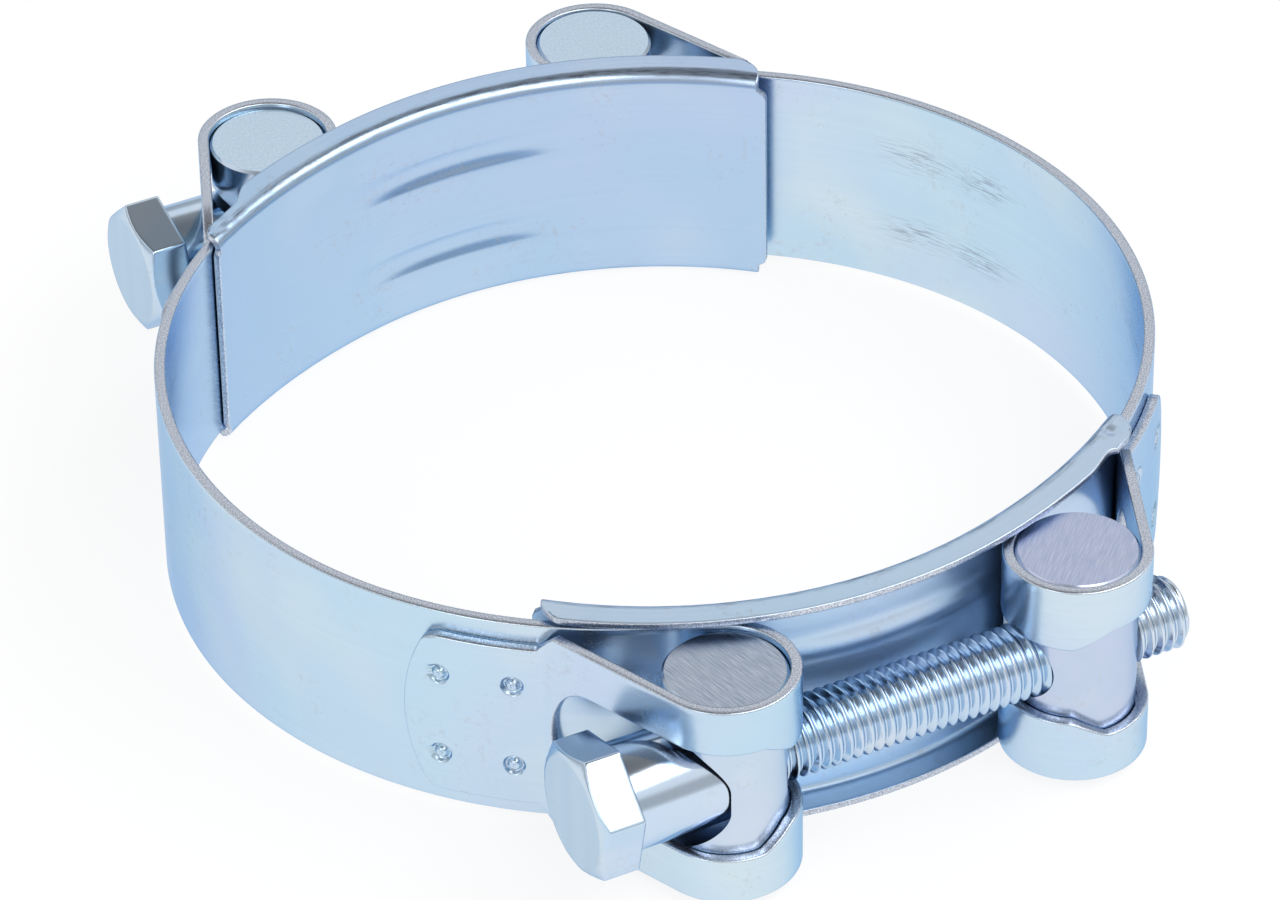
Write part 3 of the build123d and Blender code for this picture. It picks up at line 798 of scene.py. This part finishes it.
def stripMaterial(name, look):
    # Zinc plated strip: rolled faces, and sheared edges that are greyer and grainy
    material, tree, shader = startMaterial(name, look)
    surface = addNode(tree, "ShaderNodeUVMap", {"uv_map": "surface"}).outputs[0]
    place = addNode(tree, "ShaderNodeTexCoord").outputs["Object"]
    edge = addNode(tree, "ShaderNodeAttribute", {"attribute_name": "edge"}).outputs["Fac"]
    wornAndShaded = addNode(tree, "ShaderNodeAttribute", {"attribute_name": "wear"}).outputs["Fac"]
    face, scuffs, grain = zincOver(tree, place, look)
    lines = useGroup(tree, "lines", Vector=surface, Across=look["linesAcross"], Along=look["linesAlong"])
    streaks = useGroup(tree, "lines", Vector=surface, Across=look["rubAcross"], Along=look["rubAlong"])
    # This mask darkens rub streaks and rough bends, and paints shade into the pressed joints' grooves
    streakedWearAndShade = combine(tree, "MULTIPLY", wornAndShaded, ranged(tree, streaks, *look["rubRange"]))
    speck = noise(tree, place, look["speckScale"], detail=2.0)
    torn = combine(tree, "ADD", edge, ranged(tree, speck, *look["speckRange"], -look["tear"], look["tear"]))
    onEdge = ranged(tree, torn, *look["edgeRange"])
    face = mixColour(tree, combine(tree, "MULTIPLY", lines, look["lineDepth"]), face, look["lineColour"])
    face = mixColour(tree, scuffs, face, look["scuffColour"])
    face = mixColour(tree, streakedWearAndShade, face, look["wearColour"])
    grit = mixColour(tree, ranged(tree, speck, *look["gritRange"]), look["edgeDark"], look["edgeLight"])
    rough = combine(tree, "MULTIPLY_ADD", lines, look["lineRoughness"], look["roughness"])
    rough = mixValue(tree, onEdge, rough, look["edgeRoughness"])
    rough = combine(tree, "MULTIPLY_ADD", scuffs, look["scuffRoughness"], rough)
    height = mixValue(tree, onEdge, grain, combine(tree, "MULTIPLY", speck, look["edgeRelief"]))
    finishMaterial(tree, shader, mixColour(tree, onEdge, face, grit), rough, height, look["bump"])
    return material


def barMaterial(name, look):
    # Zinc plated bar: turned sides, and sawn or turned end faces that show their marks
    material, tree, shader = startMaterial(name, look)
    coordinates = addNode(tree, "ShaderNodeTexCoord")
    place, facing = coordinates.outputs["Object"], coordinates.outputs["Normal"]
    side, scuffs, grain = zincOver(tree, place, look)
    markTurn = (0, 0, math.radians(look["markTurn"]))
    turned = addNode(tree, "ShaderNodeMapping", None, Vector=place, Rotation=markTurn).outputs[0]
    marks = useGroup(tree, "lines", Vector=turned, Across=look["marksAcross"], Along=look["marksAlong"])
    axis = addNode(tree, "ShaderNodeSeparateXYZ", None, Vector=facing).outputs[look["endAxis"]]
    onEnd = ranged(tree, combine(tree, "ABSOLUTE", axis), *look["endRange"])
    end = mixColour(tree, marks, look["endDark"], look["endLight"])
    colour = mixColour(tree, scuffs, mixColour(tree, onEnd, side, end), look["scuffColour"])
    rough = combine(tree, "MULTIPLY_ADD", onEnd, look["endRoughness"], look["roughness"])
    shown = combine(tree, "MULTIPLY", marks, onEnd)
    height = combine(tree, "MULTIPLY_ADD", shown, look["markDepth"], grain)
    finishMaterial(tree, shader, colour, rough, height, look["bump"])
    return material


stripLook = {
    "cool": (0.55, 0.73, 0.86, 1), "lilac": (0.61, 0.71, 0.87, 1), "warm": (0.68, 0.79, 0.84, 1),
    "glancing": (0.5, 0.68, 0.88, 1), "driftScale": 16.0, "roughness": 0.22,
    "linesAcross": 1500.0, "linesAlong": 14.0, "lineDepth": 0.2, "lineColour": (0.5, 0.66, 0.84, 1),
    "lineRoughness": 0.05, "scuffScale": 700.0, "scuffAmount": 0.28, "scuffColour": (0.5, 0.47, 0.45, 1),
    "scuffRoughness": 0.25, "grainScale": 6000.0, "coarseScale": 260.0, "bump": 0.16,
    "edgeDark": (0.4, 0.44, 0.52, 1), "edgeLight": (0.76, 0.8, 0.88, 1), "edgeRoughness": 0.3,
    "edgeRange": (0.45, 0.8), "edgeRelief": 3.0, "gritRange": (0.42, 0.6), "tear": 0.25,
    "speckScale": 5200.0, "speckRange": (0.3, 0.7),
    # This colour darkens the rub streaks and is the painted shade in the joints' grooves
    "wearColour": (0.24, 0.28, 0.35, 1), "rubAcross": 3000.0, "rubAlong": 260.0, "rubRange": (0.45, 0.75),
}
# The back bridge: the strip's finish made darker and bluer, as painted shade for the channel seen inside the
# ring
shadedBridgeLook = {**stripLook, "cool": (0.46, 0.63, 0.82, 1), "lilac": (0.51, 0.63, 0.83, 1),
              "warm": (0.56, 0.69, 0.83, 1), "lineColour": (0.42, 0.58, 0.8, 1)}
# The front bridge: the same part made lighter, as painted light, with a rougher, grainier face
litFrontBridgeLook = {**shadedBridgeLook, "cool": (0.58, 0.76, 0.93, 1), "lilac": (0.62, 0.76, 0.93, 1),
                   "warm": (0.66, 0.78, 0.92, 1), "lineColour": (0.52, 0.7, 0.9, 1), "roughness": 0.34,
                   "bump": 0.4}
pinLook = {
    "cool": (0.58, 0.7, 0.83, 1), "lilac": (0.6, 0.69, 0.83, 1), "warm": (0.65, 0.73, 0.83, 1),
    "glancing": (0.55, 0.68, 0.84, 1), "driftScale": 40.0, "roughness": 0.2,
    "scuffScale": 900.0, "scuffAmount": 0.25, "scuffColour": (0.5, 0.47, 0.44, 1),
    "grainScale": 4800.0, "coarseScale": 300.0, "bump": 0.25,
    "markTurn": 78.0, "marksAcross": 5600.0, "marksAlong": 300.0, "markDepth": 2.0,
    "endAxis": 2, "endRange": (0.85, 0.95), "endDark": (0.28, 0.34, 0.44, 1),
    "endLight": (0.58, 0.64, 0.74, 1), "endRoughness": 0.06,
}
backPinLook = {**pinLook, "endDark": (0.52, 0.68, 0.82, 1), "endLight": (0.66, 0.78, 0.9, 1),
               "markDepth": 0.4, "marksAcross": 3600.0, "marksAlong": 2000.0}
sawnPinLook = {**pinLook, "markTurn": -45.0, "endDark": (0.4, 0.46, 0.64, 1),
               "endLight": (0.6, 0.64, 0.82, 1), "cool": (0.55, 0.64, 0.8, 1),
               "lilac": (0.58, 0.62, 0.8, 1), "warm": (0.62, 0.67, 0.79, 1)}
boltLook = {**pinLook, "cool": (0.55, 0.7, 0.85, 1), "lilac": (0.62, 0.72, 0.86, 1),
            "warm": (0.72, 0.78, 0.84, 1), "endAxis": 0, "markDepth": 0.0, "endRoughness": 0.08,
            "roughness": 0.18, "endDark": (0.6, 0.72, 0.82, 1), "endLight": (0.66, 0.76, 0.84, 1),
            "marksAcross": 600.0}
sleeveLook = {**boltLook, "roughness": 0.14, "scuffAmount": 0.15}
stripFinishes = {"left_band": stripLook, "back_bridge": shadedBridgeLook, "front_bridge": litFrontBridgeLook}
barFinishes = {"front_plain_trunnion": pinLook, "front_threaded_trunnion": sawnPinLook,
               "back_plain_trunnion": backPinLook, "front_bolt": boltLook, "front_sleeve": sleeveLook}
made = {node: stripMaterial("zinc_" + node, look) for node, look in stripFinishes.items()}
made |= {node: barMaterial("zinc_" + node, look) for node, look in barFinishes.items()}
sameAs = {"right_band": "left_band", "back_bolt": "front_bolt",
          "back_sleeve": "front_sleeve", "back_threaded_trunnion": "back_plain_trunnion"}
bodyOf = {node: body for body, members in frame["record"]["behaviour"]["bodies"].items() for node in members}
for node, obj in pieces.items():
    obj.data.materials.clear()
    obj.data.materials.append(made[sameAs.get(node, node)])
    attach(obj, bodyOf[node])
    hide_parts(node)
print("materials made and pieces set on their bodies")


# The camera, worked out from the photograph's outlines. Its focal length and image width are in pixels.
camera = {"focal": 6844.35, "imageWidth": 1280, "elevation": 36.509, "azimuth": -26.999, "roll": -0.93,
          "shiftRight": -2.215, "shiftUp": -3.243, "distance": 902.8, "sensorWidth": 36.0,
          "farClip": 20000.0}


def setPlace(obj, right, up, back, place):
    # Blender takes the matrix by its columns: the three axes, then the place
    matrix = np.eye(4)
    matrix[:3] = np.stack([right, up, back, place], 1)
    obj.matrix_world = matrix.T.tolist()


def makeCamera():
    el, az, roll = (math.radians(camera[key]) for key in ("elevation", "azimuth", "roll"))
    forward = np.array([-math.sin(az) * math.cos(el), math.cos(az) * math.cos(el), -math.sin(el)])
    level = np.array([math.cos(az), math.sin(az), 0])
    rise = np.cross(level, forward)
    right = math.cos(roll) * level + math.sin(roll) * rise
    up = -math.sin(roll) * level + math.cos(roll) * rise
    eye = (camera["shiftRight"] * right + camera["shiftUp"] * up - camera["distance"] * forward) * mm
    data = bpy.data.cameras.new("camera")
    data.sensor_width = camera["sensorWidth"]
    data.lens = camera["sensorWidth"] * camera["focal"] / camera["imageWidth"]
    data.clip_end = camera["farClip"] * mm
    bpy.context.scene.camera = addObject("camera", data)
    setPlace(bpy.context.scene.camera, right, up, -forward, eye)


makeCamera()
print("camera set")


# The studio: a white table, walls that are brightest half way up and dim overhead, and two soft lamps.
# Walls are (height of the direction, brightness), and lamps (name, place and size in metres, radiance).
studio = {
    "floorZ": -16.65, "floorHalf": 3000.0, "floorColour": (0.93, 0.94, 0.95, 1), "shadowShare": 0.2,
    "glow": 1.06,
    "walls": ((0.0, 0.8), (0.1, 0.55), (0.34, 0.55), (0.5, 0.95), (0.68, 0.95), (0.82, 0.3), (1.0, 0.2)),
    "lamps": (
        ("front", (0.27, -0.34, 0.66), (1.1, 0.36), 2.4),
        ("left", (-0.8, -0.45, 0.45), (0.3, 0.5), 1.6),
    ),
}


def makeWalls():
    # White to the camera, and a ramp of greys by the direction's height to everything else
    world = bpy.data.worlds.new("studio")
    bpy.context.scene.world = world
    world.use_nodes = True
    tree = world.node_tree
    direction = addNode(tree, "ShaderNodeTexCoord").outputs["Generated"]
    height = addNode(tree, "ShaderNodeSeparateXYZ", None, Vector=direction).outputs[2]
    ramp = addNode(tree, "ShaderNodeValToRGB", None, Fac=height)
    ramp.color_ramp.interpolation = "EASE"
    elements = ramp.color_ramp.elements
    for number, (spot, value) in enumerate(studio["walls"]):
        element = elements[number] if number < 2 else elements.new(spot)
        element.position = spot
        element.color = (value, value, value, 1)
    isCamera = addNode(tree, "ShaderNodeLightPath").outputs["Is Camera Ray"]
    colour = mixColour(tree, isCamera, ramp.outputs[0], (1, 1, 1, 1))
    tree.links.new(colour, tree.nodes["Background"].inputs[0])


def makeTable():
    # Mostly plain white to the camera and in reflections, with a share of its real shadow
    half, z = studio["floorHalf"] * mm, studio["floorZ"] * mm
    mesh = bpy.data.meshes.new("table")
    corners = [(-half, -half, z), (half, -half, z), (half, half, z), (-half, half, z)]
    mesh.from_pydata(corners, [], [(0, 1, 2, 3)])
    material = bpy.data.materials.new("table_white")
    material.use_nodes = True
    tree = material.node_tree
    tree.nodes.remove(tree.nodes["Principled BSDF"])
    diffuse = addNode(tree, "ShaderNodeBsdfDiffuse", None, Color=studio["floorColour"])
    white = addNode(tree, "ShaderNodeEmission", None, Color=(1, 1, 1, 1), Strength=studio["glow"])
    path = addNode(tree, "ShaderNodeLightPath")
    seen = combine(tree, "MAXIMUM", path.outputs["Is Camera Ray"], path.outputs["Is Glossy Ray"])
    share = combine(tree, "MULTIPLY", seen, 1 - studio["shadowShare"])
    both = addNode(tree, "ShaderNodeMixShader", None, _0=share, _1=diffuse.outputs[0], _2=white.outputs[0])
    tree.links.new(both.outputs[0], tree.nodes["Material Output"].inputs[0])
    mesh.materials.append(material)
    addObject("table", mesh)


def makeLamps():
    # Each lamp faces the middle of the object
    for name, place, size, radiance in studio["lamps"]:
        lamp = bpy.data.lights.new(name, "AREA")
        lamp.shape = "RECTANGLE"
        lamp.size, lamp.size_y = size
        lamp.energy = radiance * size[0] * size[1] * math.pi
        away = np.array(place) / np.linalg.norm(place)
        right = np.cross((0, 0, 1), away)
        right /= np.linalg.norm(right)
        setPlace(addObject(name, lamp), right, np.cross(away, right), away, place)


bpy.context.scene.view_settings.view_transform = "Standard"
makeWalls()
makeTable()
makeLamps()
print("studio made")
